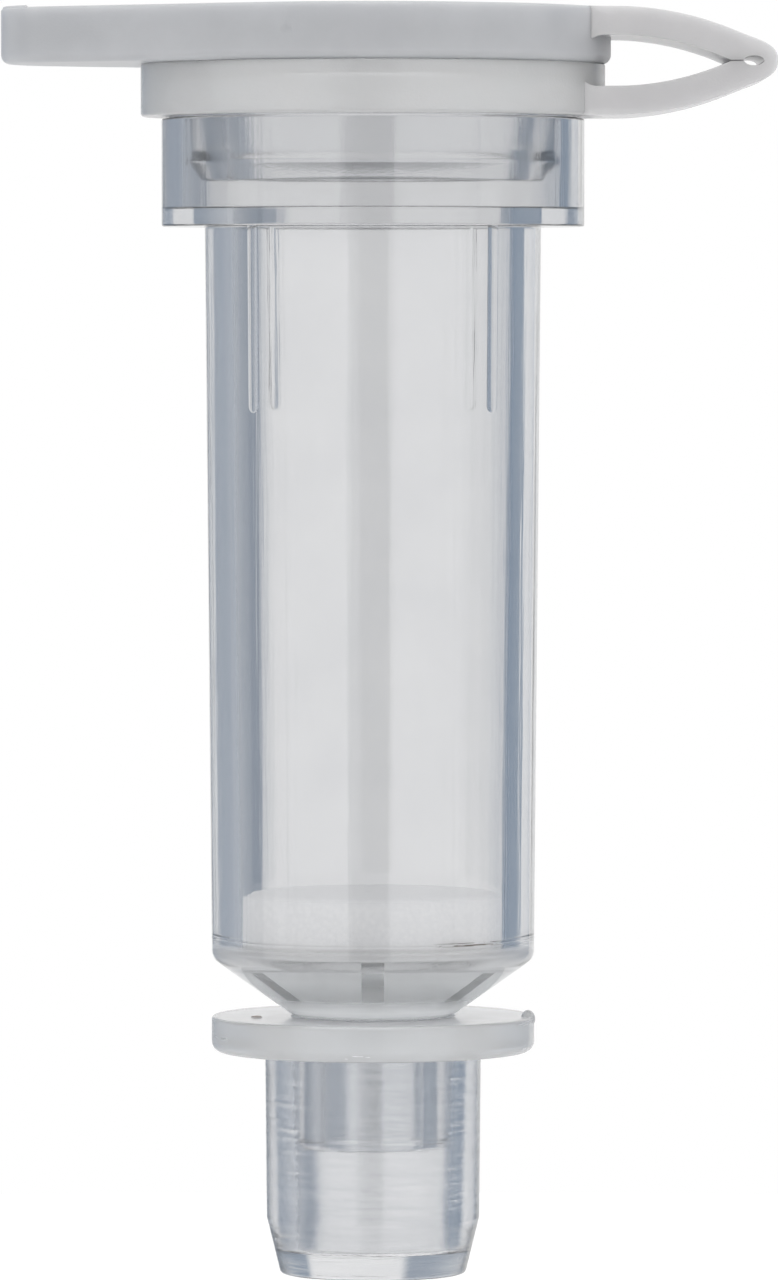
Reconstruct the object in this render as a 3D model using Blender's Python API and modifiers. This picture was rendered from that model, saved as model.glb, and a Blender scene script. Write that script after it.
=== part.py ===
"""Microcentrifuge spin column: a clear tube with a frit, a tethered snap cap and an outlet plug.

Lengths are in metres. The column stands on the flat end of its outlet plug, at Z = 0, with its axis
on Z. The cap's living hinge lies towards +X and its thumb tab towards -X.
"""

import math

import bmesh
import bpy
from mathutils import Matrix, Vector
from mathutils.geometry import interpolate_bezier

# Facets
TURN_STEPS = 48
RIB_STEPS = 12
ARC_STEPS = 3
BEND_STEPS = 8
MERGE = 1e-7
SHARP_DEGREES = 35.0
FILLET_SHARE = 0.45

# Fits between separate mouldings, and the hairline between the nodes of one moulding
SLIP_FIT = 0.00005
SEAT_GAP = 0.00005
SEAM = 0.00005

# Draft of the moulded outer walls, and taper of the outlet on its diameter, as on a Luer cone
DRAFT_DEGREES = 0.53
OUTLET_TAPER = 0.06

# Outlet of the column
OUTLET_DIAMETER = 0.0042
OUTLET_LENGTH = 0.00344
OUTLET_BORE = 0.0026
OUTLET_TIP_ROUND = 0.0002

# Outlet plug
PLUG_WALL = 0.00068
PLUG_FLOOR = 0.00068
PLUG_SKIRT_LENGTH = 0.00582
PLUG_FLANGE_WIDTH = 0.0014
PLUG_FLANGE_THICKNESS = 0.00094
PLUG_FLANGE_TOP_ROUND = 0.00008
PLUG_FLANGE_UNDER_ROUND = 0.00028
PLUG_LEAD_LENGTH = 0.00147
PLUG_LEAD_WIDTH = 0.00036
PLUG_END_ROUND = 0.0001

# Tube and funnel of the column
TUBE_DIAMETER = 0.0088
TUBE_WALL = 0.00075
TUBE_LENGTH = 0.01914
CONE_DEGREES = 54.5
CONE_ROUND = 0.001
FUNNEL_WALL = 0.00067
FRIT_LEDGE = 0.0002

# Ribs that hold the frit above the funnel, and ribs that centre the tube in a collection tube
FUNNEL_RIB_COUNT = 6
FUNNEL_RIB_WIDTH = 0.00055
FUNNEL_RIB_SETBACK = 0.00025
GUIDE_RIB_COUNT = 4
GUIDE_RIB_LENGTH = 0.00485
GUIDE_RIB_RADIUS = 0.00019
GUIDE_RIB_SINK = 0.00004

# Frit
FRIT_THICKNESS = 0.0016
FRIT_EDGE = 0.0001

# Collar, neck and mouth of the column
COLLAR_SEAT_WIDTH = 0.00113
COLLAR_HEIGHT = 0.00282
COLLAR_ROUND = 0.00006
SHOULDER_WIDTH = 0.00051
MOUTH_FLOOR = 0.00048
MOUTH_DRAFT_DEGREES = 5.0
MOUTH_CHAMFER = 0.00008
RIM_WALL = 0.0004
SNAP_LIP_PROUD = 0.0001
SNAP_LIP_HEIGHT = 0.00035

# Snap cap: tether ring, lid with its sealing plug, and folded strap
RING_WALL = 0.001
RING_HEIGHT = 0.00132
RING_ROUND = 0.00008
LID_OVERHANG = 0.00015
LID_THICKNESS = 0.00145
LID_TOP_ROUND = 0.00007
LID_UNDER_ROUND = 0.00024
TAB_LENGTH = 0.0035
TAB_END_RADIUS = 0.00242
SEAL_DEPTH = 0.00308
SEAL_WALL = 0.0007
SEAL_EDGE_ROUND = 0.00018
BEAD_PROUD = 0.00008
BEAD_LENGTH = 0.0005
BEAD_ABOVE_EDGE = 0.00062
STRAP_WIDTH = 0.005
STRAP_THICKNESS = 0.00075
STRAP_ROOT = 0.0003
STRAP_LENGTH = 0.00365
TOUCH_LENGTH = 0.0006
FOLD_GAP = 0.00008
FOLD_REACH = 0.00062
FOLD_EASE = 0.55
FOLD_BLUNTNESS = 0.4
EYELET_DEPTH = 0.00016
EYELET_HEIGHT = 0.0001

# Heights worked out from the base upwards
CONE_SLOPE = math.tan(math.radians(CONE_DEGREES))
DRAFT_SLOPE = math.tan(math.radians(DRAFT_DEGREES))
MOUTH_SLOPE = math.tan(math.radians(MOUTH_DRAFT_DEGREES))
OUTLET_SLOPE = OUTLET_TAPER / 2
OUTLET_RADIUS = OUTLET_DIAMETER / 2
OUTLET_BORE_RADIUS = OUTLET_BORE / 2
SOCKET_RADIUS = OUTLET_RADIUS + SLIP_FIT
PLUG_TOP = PLUG_SKIRT_LENGTH + PLUG_FLANGE_THICKNESS
OUTLET_ROOT = PLUG_TOP + SEAT_GAP - SLIP_FIT / CONE_SLOPE
OUTLET_TIP = OUTLET_ROOT - OUTLET_LENGTH
TUBE_TOP_RADIUS = TUBE_DIAMETER / 2
TUBE_END_RADIUS = TUBE_TOP_RADIUS - TUBE_LENGTH * DRAFT_SLOPE
TUBE_END = OUTLET_ROOT + (TUBE_END_RADIUS - OUTLET_RADIUS) / CONE_SLOPE
COLLAR_UNDERSIDE = TUBE_END + TUBE_LENGTH
COLLAR_TOP = COLLAR_UNDERSIDE + COLLAR_HEIGHT
MOUTH_FLOOR_TOP = COLLAR_UNDERSIDE + MOUTH_FLOOR
RING_UNDERSIDE = COLLAR_TOP + SEAT_GAP
RIM = RING_UNDERSIDE + RING_HEIGHT
LID_UNDERSIDE = RIM + SEAT_GAP
LID_TOP = LID_UNDERSIDE + LID_THICKNESS
SEAL_EDGE = LID_UNDERSIDE - SEAL_DEPTH

# Radii worked out from the tube outwards
COLLAR_RADIUS = TUBE_TOP_RADIUS + COLLAR_SEAT_WIDTH
NECK_RADIUS = COLLAR_RADIUS - SHOULDER_WIDTH
RIM_MOUTH_RADIUS = NECK_RADIUS - RIM_WALL
LIP_RADIUS = NECK_RADIUS + SNAP_LIP_PROUD
RING_BORE_RADIUS = NECK_RADIUS + SLIP_FIT
RING_RADIUS = RING_BORE_RADIUS + RING_WALL
LID_RADIUS = RING_RADIUS + LID_OVERHANG

# The living hinge: the strap folds about a line along Y, midway between the cap's two faces
HINGE_X = LID_RADIUS + STRAP_LENGTH
HINGE_Z = (RING_UNDERSIDE + LID_TOP) / 2
FOLD_HALF_HEIGHT = (LID_TOP - RING_UNDERSIDE) / 2


def tube_radius(z):
    """Outer radius of the drafted tube at a height."""
    return TUBE_TOP_RADIUS - (COLLAR_UNDERSIDE - z) * DRAFT_SLOPE


def cone_height(radius):
    """Height of the funnel's outer cone at a radius."""
    return OUTLET_ROOT + (radius - OUTLET_RADIUS) / CONE_SLOPE


def mouth_radius(z):
    """Radius of the tapered mouth at a height."""
    return RIM_MOUTH_RADIUS - (RIM - z) * MOUTH_SLOPE


def seal_limit(z):
    """Largest radius of the cap's sealing plug that clears the mouth, also while the lid swings up.

    The far side of the plug drifts outwards as it turns about the hinge, and the taper of the mouth
    takes up the first part of that drift.
    """
    arm = HINGE_X + RIM_MOUTH_RADIUS
    drop = max(0.0, HINGE_Z - z - MOUTH_SLOPE * arm)
    return mouth_radius(z) - SLIP_FIT - drop**2 / (2 * arm)


# The frit's seat: a ledge round the funnel, level with the tops of the ribs
SEAT_LEDGE_RADIUS = TUBE_END_RADIUS - TUBE_WALL - FRIT_LEDGE
FUNNEL_WALL_HEIGHT = FUNNEL_WALL / math.sin(math.radians(CONE_DEGREES))
FRIT_SEAT = cone_height(SEAT_LEDGE_RADIUS) + FUNNEL_WALL_HEIGHT
FRIT_UNDERSIDE = FRIT_SEAT + SEAT_GAP
FRIT_RADIUS = tube_radius(FRIT_SEAT) - TUBE_WALL - SLIP_FIT


def rounded(corners, closed=True):
    """Points through (x, y, radius) corners, with each corner rounded to its own radius."""
    points = []
    count = len(corners)
    for index, (x, y, radius) in enumerate(corners):
        corner = Vector((x, y))
        if radius == 0 or (not closed and index in (0, count - 1)):
            points.append(corner)
            continue
        back = Vector(corners[index - 1][:2]) - corner
        ahead = Vector(corners[(index + 1) % count][:2]) - corner
        half = back.angle(ahead) / 2
        # A fillet takes up at most a set share of its shorter wall
        cut = min(radius / math.tan(half), FILLET_SHARE * min(back.length, ahead.length))
        arc = cut * math.tan(half)
        back.normalize()
        ahead.normalize()
        centre = corner + (back + ahead).normalized() * arc / math.sin(half)
        start = (corner + back * cut - centre).normalized()
        end = (corner + ahead * cut - centre).normalized()
        points += [centre + start.slerp(end, step / ARC_STEPS) * arc for step in range(ARC_STEPS + 1)]
    return points


def new_object(name, mesh, collection, material=None):
    """A new object of this mesh in a collection, with its material."""
    obj = bpy.data.objects.new(name, mesh)
    collection.objects.link(obj)
    if material:
        mesh.materials.append(material)
    else:
        obj.hide_render = True
        obj.display_type = "WIRE"
    return obj


def turned(name, profile, collection, material=None, closed=True, steps=TURN_STEPS):
    """A profile of (radius, height) points, top to bottom on its outer side, turned about Z."""
    count = len(profile)
    mesh = bpy.data.meshes.new(name)
    links = [(i, (i + 1) % count) for i in range(count if closed else count - 1)]
    mesh.from_pydata([(x, 0, z) for x, z in profile], links, [])
    obj = new_object(name, mesh, collection, material)
    screw = obj.modifiers.new("Turn", "SCREW")
    screw.axis = "Z"
    screw.steps = steps
    screw.render_steps = steps
    screw.use_merge_vertices = True
    screw.merge_threshold = MERGE
    return obj


def finish_mesh(name, build, collection, material):
    """An object of a finished bmesh, with its faces turned outwards and shaded smooth."""
    bmesh.ops.recalc_face_normals(build, faces=build.faces[:])
    mesh = bpy.data.meshes.new(name)
    build.to_mesh(mesh)
    build.free()
    mesh.shade_smooth()
    mesh.set_sharp_from_angle(angle=math.radians(SHARP_DEGREES))
    return new_object(name, mesh, collection, material)


def extruded(name, outline, width, collection, material=None):
    """An outline of (x, z) points, extruded along Y to a width centred on Y = 0."""
    build = bmesh.new()
    face = build.faces.new([build.verts.new((x, -width / 2, z)) for x, z in outline])
    side = bmesh.ops.extrude_face_region(build, geom=[face])
    moved = [item for item in side["geom"] if isinstance(item, bmesh.types.BMVert)]
    bmesh.ops.translate(build, verts=moved, vec=(0, width, 0))
    return finish_mesh(name, build, collection, material)


def lofted(name, sections, collection, material=None):
    """A closed skin through sections of equal numbers of (x, y, z) points, top to bottom."""
    build = bmesh.new()
    rings = [[build.verts.new(point) for point in section] for section in sections]
    for upper, lower in zip(rings, rings[1:]):
        for i in range(len(upper)):
            build.faces.new((upper[i - 1], lower[i - 1], lower[i], upper[i]))
    build.faces.new(rings[0])
    build.faces.new(reversed(rings[-1]))
    return finish_mesh(name, build, collection, material)


def combine(obj, other, operation):
    """Join another object to this one, or cut it out."""
    step = obj.modifiers.new(f"{operation.title()} {other.name}", "BOOLEAN")
    step.operation = operation
    step.object = other
    step.solver = "EXACT"


def carry(name, place, children, collection):
    """An empty on a joint's axis, which carries the pieces that move about it."""
    empty = bpy.data.objects.new(name, None)
    empty.location = place
    empty.empty_display_size = STRAP_WIDTH
    collection.objects.link(empty)
    for child in children:
        child.parent = empty
        child.location = -Vector(place)


def plastic(name, colour, roughness, transmission=0.0):
    """A moulded plastic."""
    material = bpy.data.materials.new(name)
    material.use_nodes = True
    shader = material.node_tree.nodes["Principled BSDF"]
    shader.inputs["Base Color"].default_value = (*colour, 1)
    shader.inputs["Roughness"].default_value = roughness
    shader.inputs["Metallic"].default_value = 0
    shader.inputs["Transmission Weight"].default_value = transmission
    material.diffuse_color = (*colour, 1 - transmission / 2)
    return material


def column_profile():
    """Section of the column: down its outside from the rim to the outlet's tip, and up its inside."""
    tip_radius = OUTLET_RADIUS - OUTLET_LENGTH * OUTLET_SLOPE
    lip_underside = RIM - SNAP_LIP_HEIGHT
    outside = [
        (LIP_RADIUS, RIM, MOUTH_CHAMFER),
        (LIP_RADIUS, lip_underside + SNAP_LIP_PROUD, 0),
        (NECK_RADIUS, lip_underside, 0),
        (NECK_RADIUS, COLLAR_TOP, 0),
        (COLLAR_RADIUS, COLLAR_TOP, COLLAR_ROUND),
        (COLLAR_RADIUS, COLLAR_UNDERSIDE, COLLAR_ROUND),
        (TUBE_TOP_RADIUS, COLLAR_UNDERSIDE, 0),
        (TUBE_END_RADIUS, TUBE_END, CONE_ROUND),
        (OUTLET_RADIUS, OUTLET_ROOT, 0),
        (tip_radius, OUTLET_TIP, OUTLET_TIP_ROUND),
    ]
    funnel_end = FRIT_SEAT - (SEAT_LEDGE_RADIUS - OUTLET_BORE_RADIUS) / CONE_SLOPE
    inside = [
        (OUTLET_BORE_RADIUS, OUTLET_TIP, 0),
        (OUTLET_BORE_RADIUS, funnel_end, 0),
        (SEAT_LEDGE_RADIUS, FRIT_SEAT, 0),
        (tube_radius(FRIT_SEAT) - TUBE_WALL, FRIT_SEAT, 0),
        (tube_radius(MOUTH_FLOOR_TOP) - TUBE_WALL, MOUTH_FLOOR_TOP, COLLAR_ROUND),
        (mouth_radius(MOUTH_FLOOR_TOP), MOUTH_FLOOR_TOP, 0),
        (RIM_MOUTH_RADIUS, RIM - MOUTH_CHAMFER, 0),
        (RIM_MOUTH_RADIUS + MOUTH_CHAMFER, RIM, 0),
    ]
    return rounded(outside + inside)


def funnel_rib_outline():
    """Side view of one funnel rib, with its foot sunk halfway into the funnel's wall."""
    start = OUTLET_BORE_RADIUS + FUNNEL_RIB_SETBACK
    end = SEAT_LEDGE_RADIUS + FRIT_LEDGE / 2
    sunk = FUNNEL_WALL_HEIGHT / 2
    return [
        (start, FRIT_SEAT),
        (end, FRIT_SEAT),
        (end, cone_height(end) + sunk),
        (start, cone_height(start) + sunk),
    ]


def guide_rib_profile():
    """Section of a guide rib: a slim bar with a round lower end, about its own axis."""
    top = GUIDE_RIB_SINK + COLLAR_ROUND
    centre = GUIDE_RIB_RADIUS - GUIDE_RIB_LENGTH
    turns = [math.pi / 2 * step / ARC_STEPS for step in range(1, ARC_STEPS)]
    end = [(GUIDE_RIB_RADIUS * math.cos(a), centre - GUIDE_RIB_RADIUS * math.sin(a)) for a in turns]
    return [(0, top), (GUIDE_RIB_RADIUS, top), (GUIDE_RIB_RADIUS, centre), *end, (0, -GUIDE_RIB_LENGTH)]


def make_column(parts, cutters, material):
    """The clear column: collar, tube, guide ribs, ribbed funnel and outlet in one moulding."""
    column = turned("column_body", column_profile(), parts, material)
    for index in range(FUNNEL_RIB_COUNT):
        rib = extruded(f"funnel_rib_{index}", funnel_rib_outline(), FUNNEL_RIB_WIDTH, cutters)
        rib.rotation_euler.z = 2 * math.pi * (index + 0.5) / FUNNEL_RIB_COUNT
        combine(column, rib, "UNION")
    for index in range(GUIDE_RIB_COUNT):
        rib = turned(f"guide_rib_{index}", guide_rib_profile(), cutters, closed=False, steps=RIB_STEPS)
        heading = Matrix.Rotation(2 * math.pi * (index + 0.5) / GUIDE_RIB_COUNT, 4, "Z")
        place = Matrix.Translation((TUBE_TOP_RADIUS - GUIDE_RIB_SINK, 0, COLLAR_UNDERSIDE))
        lean = Matrix.Rotation(math.radians(DRAFT_DEGREES), 4, "Y")
        rib.matrix_world = heading @ place @ lean
        combine(column, rib, "UNION")
    return column


def make_frit(parts, material):
    """The porous disc that lies on the funnel's ribs."""
    top = FRIT_UNDERSIDE + FRIT_THICKNESS
    corners = [
        (0, top, 0),
        (FRIT_RADIUS, top, FRIT_EDGE),
        (FRIT_RADIUS, FRIT_UNDERSIDE, FRIT_EDGE),
        (0, FRIT_UNDERSIDE, 0),
    ]
    return turned("frit", rounded(corners, closed=False), parts, material, closed=False)


def make_outlet_plug(parts, material):
    """The push-on plug that closes the outlet: a flanged cup with a tapered lead at its end."""
    skirt_top = SOCKET_RADIUS + PLUG_WALL
    skirt_end = skirt_top - (PLUG_SKIRT_LENGTH - PLUG_LEAD_LENGTH) * DRAFT_SLOPE
    flange = skirt_top + PLUG_FLANGE_WIDTH
    socket_end = SOCKET_RADIUS - (PLUG_TOP - PLUG_FLOOR) * OUTLET_SLOPE
    corners = [
        (0, PLUG_FLOOR, 0),
        (socket_end, PLUG_FLOOR, 0),
        (SOCKET_RADIUS, PLUG_TOP, 0),
        (flange, PLUG_TOP, PLUG_FLANGE_TOP_ROUND),
        (flange, PLUG_SKIRT_LENGTH, PLUG_FLANGE_UNDER_ROUND),
        (skirt_top, PLUG_SKIRT_LENGTH, 0),
        (skirt_end, PLUG_LEAD_LENGTH, PLUG_END_ROUND),
        (skirt_end - PLUG_LEAD_WIDTH, 0, PLUG_END_ROUND),
        (0, 0, 0),
    ]
    return turned("outlet_plug", rounded(corners, closed=False), parts, material, closed=False)


def make_tether_ring(parts, material):
    """The ring snapped round the neck, under the neck's lip."""
    recess = LIP_RADIUS + SLIP_FIT
    recess_floor = RIM - SNAP_LIP_HEIGHT - SLIP_FIT
    corners = [
        (RING_RADIUS, RIM, RING_ROUND),
        (RING_RADIUS, RING_UNDERSIDE, RING_ROUND),
        (RING_BORE_RADIUS, RING_UNDERSIDE, RING_ROUND),
        (RING_BORE_RADIUS, recess_floor, 0),
        (recess, recess_floor + SNAP_LIP_PROUD, 0),
        (recess, RIM, 0),
    ]
    return turned("tether_ring", rounded(corners), parts, material)


def lid_outline(inset, z):
    """Plan of the lid at a height: its disc and its tab's round end, joined by their tangents."""
    tab_x = TAB_END_RADIUS - LID_RADIUS - TAB_LENGTH
    tangent = math.acos((LID_RADIUS - TAB_END_RADIUS) / tab_x)
    disc_steps = 2 * round(tangent / (2 * math.pi) * TURN_STEPS)
    tab_steps = TURN_STEPS - disc_steps
    disc = [tangent * (2 * i / disc_steps - 1) for i in range(disc_steps + 1)]
    tab = [tangent + 2 * (math.pi - tangent) * i / tab_steps for i in range(tab_steps + 1)]
    disc_radius = LID_RADIUS - inset
    tab_radius = TAB_END_RADIUS - inset
    around = [(disc_radius * math.cos(a), disc_radius * math.sin(a), z) for a in disc]
    return around + [(tab_x + tab_radius * math.cos(a), tab_radius * math.sin(a), z) for a in tab]


def seal_profile():
    """Section of the hollow sealing plug under the lid, with its bead above a rounded lower edge."""
    root = LID_UNDERSIDE + LID_THICKNESS / 2
    bead = SEAL_EDGE + BEAD_ABOVE_EDGE
    bead_top = bead + BEAD_LENGTH / 2
    bead_end = bead - BEAD_LENGTH / 2
    edge_radius = seal_limit(SEAL_EDGE) - BEAD_PROUD
    top_radius = seal_limit(LID_UNDERSIDE) - BEAD_PROUD
    return rounded(
        [
            (top_radius, root, 0),
            (top_radius, LID_UNDERSIDE, 0),
            (seal_limit(bead_top) - BEAD_PROUD, bead_top, 0),
            (seal_limit(bead), bead, BEAD_LENGTH / 2),
            (seal_limit(bead_end) - BEAD_PROUD, bead_end, 0),
            (edge_radius, SEAL_EDGE, SEAL_EDGE_ROUND),
            (edge_radius - SEAL_WALL, SEAL_EDGE, SEAL_EDGE_ROUND),
            (top_radius - SEAL_WALL, LID_UNDERSIDE, 0),
            (top_radius - SEAL_WALL, root, 0),
        ]
    )


def make_lid(parts, cutters, material):
    """The lid: a plate with a thumb tab, and a hollow sealing plug below it."""
    edge = rounded(
        [
            (LID_TOP_ROUND * 2, LID_TOP, 0),
            (0, LID_TOP, LID_TOP_ROUND),
            (0, LID_UNDERSIDE, LID_UNDER_ROUND),
            (LID_UNDER_ROUND * 2, LID_UNDERSIDE, 0),
        ],
        closed=False,
    )
    lid = lofted("lid", [lid_outline(inset, z) for inset, z in edge[1:-1]], parts, material)
    seal = turned("lid_seal", seal_profile(), cutters)
    combine(lid, seal, "UNION")
    return lid


def limb_faces(start, end):
    """Outer and inner face of a limb, as (x, distance from the fold's plane) from its root to the fold.

    The limb is flat at its root, bends until it meets the other limb, and thins from there to the fold.
    """
    bend_start = LID_RADIUS + STRAP_ROOT
    touch = HINGE_X - TOUCH_LENGTH
    fall = FOLD_HALF_HEIGHT - STRAP_THICKNESS - FOLD_GAP / 2
    inner_bend = ((touch - bend_start) ** 2 + fall**2) / (2 * fall)
    faces = []
    for depth in (0, STRAP_THICKNESS):
        radius = inner_bend + STRAP_THICKNESS - depth
        sweep = math.asin((touch - bend_start) / radius)
        turns = [sweep * step / BEND_STEPS for step in range(BEND_STEPS + 1)]
        height = FOLD_HALF_HEIGHT - depth
        bend = [(bend_start + radius * math.sin(a), height - radius * (1 - math.cos(a))) for a in turns]
        fold_height = FOLD_GAP / 2 if depth else bend[-1][1] - math.tan(sweep) * (end - touch)
        faces.append([(start, height), *bend, (end, fold_height)])
    return faces


def make_limb(name, side, root_radius, parts, cutters, material):
    """One limb of the strap, above (+1) or below (-1) the fold, cut to the round edge it grows from."""
    end = HINGE_X - SEAM / 2
    start = root_radius - STRAP_THICKNESS
    outer, inner = limb_faces(start, end)
    loop = [(x, HINGE_Z + side * z) for x, z in outer + inner[::-1]]
    limb = extruded(name, loop, STRAP_WIDTH, parts, material)
    edge = root_radius + SEAM
    reach = STRAP_THICKNESS * 2
    rim = [
        (0, HINGE_Z + FOLD_HALF_HEIGHT + reach),
        (edge, HINGE_Z + FOLD_HALF_HEIGHT + reach),
        (edge, HINGE_Z - FOLD_HALF_HEIGHT - reach),
        (0, HINGE_Z - FOLD_HALF_HEIGHT - reach),
    ]
    combine(limb, turned(f"{name}_root", rim, cutters, closed=False), "DIFFERENCE")
    return limb


def make_hinge_web(parts, material):
    """The thin fold of the strap: it leaves the limbs without a kink, and has an eyelet inside."""
    outer_face = limb_faces(LID_RADIUS, HINGE_X - SEAM / 2)[0]
    (touch, touch_height), (end, end_height) = outer_face[-2:]
    slope = (touch_height - end_height) / (end - touch)
    start = HINGE_X + SEAM / 2
    start_height = end_height - slope * SEAM
    tip = HINGE_X + FOLD_REACH
    ease = FOLD_EASE * (tip - start)
    bow = interpolate_bezier(
        (start, start_height),
        (start + ease, start_height - slope * ease),
        (tip, FOLD_BLUNTNESS * start_height),
        (tip, 0),
        BEND_STEPS + 1,
    )
    half_turns = [math.pi * (step / BEND_STEPS - 0.5) for step in range(BEND_STEPS + 1)]
    eyelet = [(start + EYELET_DEPTH * math.cos(a), EYELET_HEIGHT / 2 * math.sin(a)) for a in half_turns]
    lower_bow = [(x, -z) for x, z in bow]
    outline = [(x, HINGE_Z + z) for x, z in lower_bow + bow[-2::-1] + eyelet[::-1]]
    return extruded("hinge_web", outline, STRAP_WIDTH, parts, material)


def main():
    for obj in list(bpy.data.objects):
        bpy.data.objects.remove(obj, do_unlink=True)
    parts = bpy.data.collections.new("spin_column")
    cutters = bpy.data.collections.new("spin_column_cutters")
    for collection in (parts, cutters):
        bpy.context.scene.collection.children.link(collection)

    clear = plastic("clear_polypropylene", (0.84, 0.86, 0.88), 0.06, transmission=1.0)
    porous = plastic("porous_polyethylene", (0.90, 0.91, 0.92), 0.9)
    frosted = plastic("frosted_polyethylene", (0.62, 0.63, 0.65), 0.5, transmission=0.4)
    plug_clear = plastic("clear_polyethylene", (0.80, 0.83, 0.85), 0.15, transmission=0.9)

    make_column(parts, cutters, clear)
    make_frit(parts, porous)
    make_outlet_plug(parts, plug_clear)
    make_tether_ring(parts, frosted)
    make_limb("strap_lower", -1, RING_RADIUS, parts, cutters, frosted)
    make_hinge_web(parts, frosted)
    upper = make_limb("strap_upper", 1, LID_RADIUS, parts, cutters, frosted)
    lid = make_lid(parts, cutters, frosted)
    carry("lid_hinge_axis", (HINGE_X, 0, HINGE_Z), [lid, upper], parts)


main()
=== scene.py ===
import math

import bmesh
import bpy
from mathutils import Matrix, Vector, noise
from mathutils.geometry import interpolate_bezier


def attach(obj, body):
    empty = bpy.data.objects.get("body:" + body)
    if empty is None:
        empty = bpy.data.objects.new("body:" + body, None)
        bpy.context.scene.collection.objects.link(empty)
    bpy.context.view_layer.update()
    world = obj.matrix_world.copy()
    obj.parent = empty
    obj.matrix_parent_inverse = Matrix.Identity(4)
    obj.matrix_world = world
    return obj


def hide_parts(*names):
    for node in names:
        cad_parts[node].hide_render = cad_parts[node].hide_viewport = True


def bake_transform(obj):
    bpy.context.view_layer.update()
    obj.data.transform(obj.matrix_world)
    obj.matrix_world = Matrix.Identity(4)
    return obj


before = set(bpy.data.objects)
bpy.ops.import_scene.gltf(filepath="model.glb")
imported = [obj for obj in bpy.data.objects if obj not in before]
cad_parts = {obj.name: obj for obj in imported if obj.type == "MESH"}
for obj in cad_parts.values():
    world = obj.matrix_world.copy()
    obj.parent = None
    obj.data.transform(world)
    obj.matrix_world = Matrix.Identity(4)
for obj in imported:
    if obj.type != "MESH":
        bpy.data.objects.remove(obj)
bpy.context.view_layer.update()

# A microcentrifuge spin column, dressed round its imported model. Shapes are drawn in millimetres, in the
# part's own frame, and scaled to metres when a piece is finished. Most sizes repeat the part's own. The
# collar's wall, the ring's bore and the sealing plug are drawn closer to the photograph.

MM = 0.001

# Facets. A round takes up to a share of the edges beside it, and its support points lie a little outside it.
TURN_STEPS = 224
RIB_STEPS = 24
ARC_STEPS = 7
BEND_STEPS = 18
TOUCH_STEPS = 3
FLOOR_STEPS = 96
BALL_SUBDIVISIONS = 4
SHARP_DEGREES = 32.0
WELD = 1e-5
FILLET_SHARE = 0.42
SUPPORT = 1.12

# Column
OUTLET_RADIUS = 2.1
OUTLET_SLOPE = 0.03
OUTLET_BORE_RADIUS = 1.3
OUTLET_ROOT = 6.7743
OUTLET_TIP = 3.3343
OUTLET_FILLET = 0.05
OUTLET_TIP_ROUND = 0.2
OUTLET_BORE_ROUND = 0.1
CONE_ANGLE = math.radians(54.5)
CONE_SLOPE = math.tan(CONE_ANGLE)
FUNNEL_WALL = 0.67
FUNNEL_WALL_HEIGHT = FUNNEL_WALL / math.sin(CONE_ANGLE)
FUNNEL_ROUND = 0.1
TUBE_END = 8.2886
TUBE_END_RADIUS = 4.2229
TUBE_END_ROUND = 1.0
TUBE_TOP_RADIUS = 4.4
TUBE_WALL = 0.75
DRAFT_DEGREES = 0.53
DRAFT_SLOPE = math.tan(math.radians(DRAFT_DEGREES))
PARTING_LINE = 8.83
PARTING_PROUD = 0.009
PARTING_HALF = 0.025
PARTING_STATIONS = (3, 1, 0, -1, -3)
FRIT_SEAT = 8.434
SEAT_LEDGE_RADIUS = 3.2729
SEAT_LEDGE_ROUND = 0.04
SEAT_FILLET = 0.05
COLLAR_RADIUS = 5.53
COLLAR_ROUND = 0.06
COLLAR_FILLET = 0.05
COLLAR_UNDERSIDE = 27.4286
COLLAR_TOP = 30.2486
MOUTH_FLOOR_TOP = 27.9086
MOUTH_FLOOR_RADIUS = 4.92
MOUTH_FLOOR_ROUND = 0.02
RIM_MOUTH_RADIUS = 4.97
NECK_RADIUS = 5.34
NECK_FILLET = 0.04
LIP_RADIUS = 5.42
LIP_UNDERSIDE = 31.2686
LIP_SLOPE_HEIGHT = 0.1
LIP_ROUND = 0.08
RIM = 31.6186
MOUTH_CHAMFER = 0.08
FUNNEL_RIB_COUNT = 6
FUNNEL_RIB_WIDTH = 0.55
FUNNEL_RIB_START = 1.55
FUNNEL_RIB_SINK = 0.1
GUIDE_RIB_COUNT = 4
GUIDE_RIB_LENGTH = 4.85
GUIDE_RIB_RADIUS = 0.2
GUIDE_RIB_FLATNESS = 0.35
GUIDE_RIB_SINK = 0.025
GUIDE_RIB_OVERLAP = 0.06

# Frit
FRIT_RADIUS = 3.4243
FRIT_UNDERSIDE = 8.484
FRIT_TOP = 10.02
FRIT_EDGE = 0.24
FRIT_GRAIN = 0.09
FRIT_ROUGHNESS = 0.012
FRIT_FRACTAL = (0.6, 2.0, 3)
FRIT_DIP = 0.6
FRIT_SWING = 0.5

# Outlet plug
PLUG_TOP = 6.76
PLUG_SKIRT_LENGTH = 5.82
PLUG_FLOOR = 0.68
PLUG_LEAD_LENGTH = 1.47
PLUG_LEAD_ROUND = 0.02
SOCKET_RADIUS = 2.15
SOCKET_ROUND = 0.03
SOCKET_END_RADIUS = 1.9676
SOCKET_END_FILLET = 0.12
PLUG_SKIRT_RADIUS = 2.83
PLUG_SKIRT_END_RADIUS = 2.79
PLUG_SKIRT_FILLET = 0.06
PLUG_END_RADIUS = 2.43
PLUG_END_ROUND = 0.1
PLUG_FLANGE_RADIUS = 4.23
PLUG_FLANGE_TOP_ROUND = 0.08
PLUG_FLANGE_UNDER_ROUND = 0.28
GATE_NUB = (4.06, -0.45, 6.7)
GATE_NUB_SIZE = (0.19, 0.3, 0.23)
GATE_STUB = (-3.05, -0.75, 6.76)
GATE_STUB_SIZE = (0.15, 0.15, 0.05)

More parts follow.
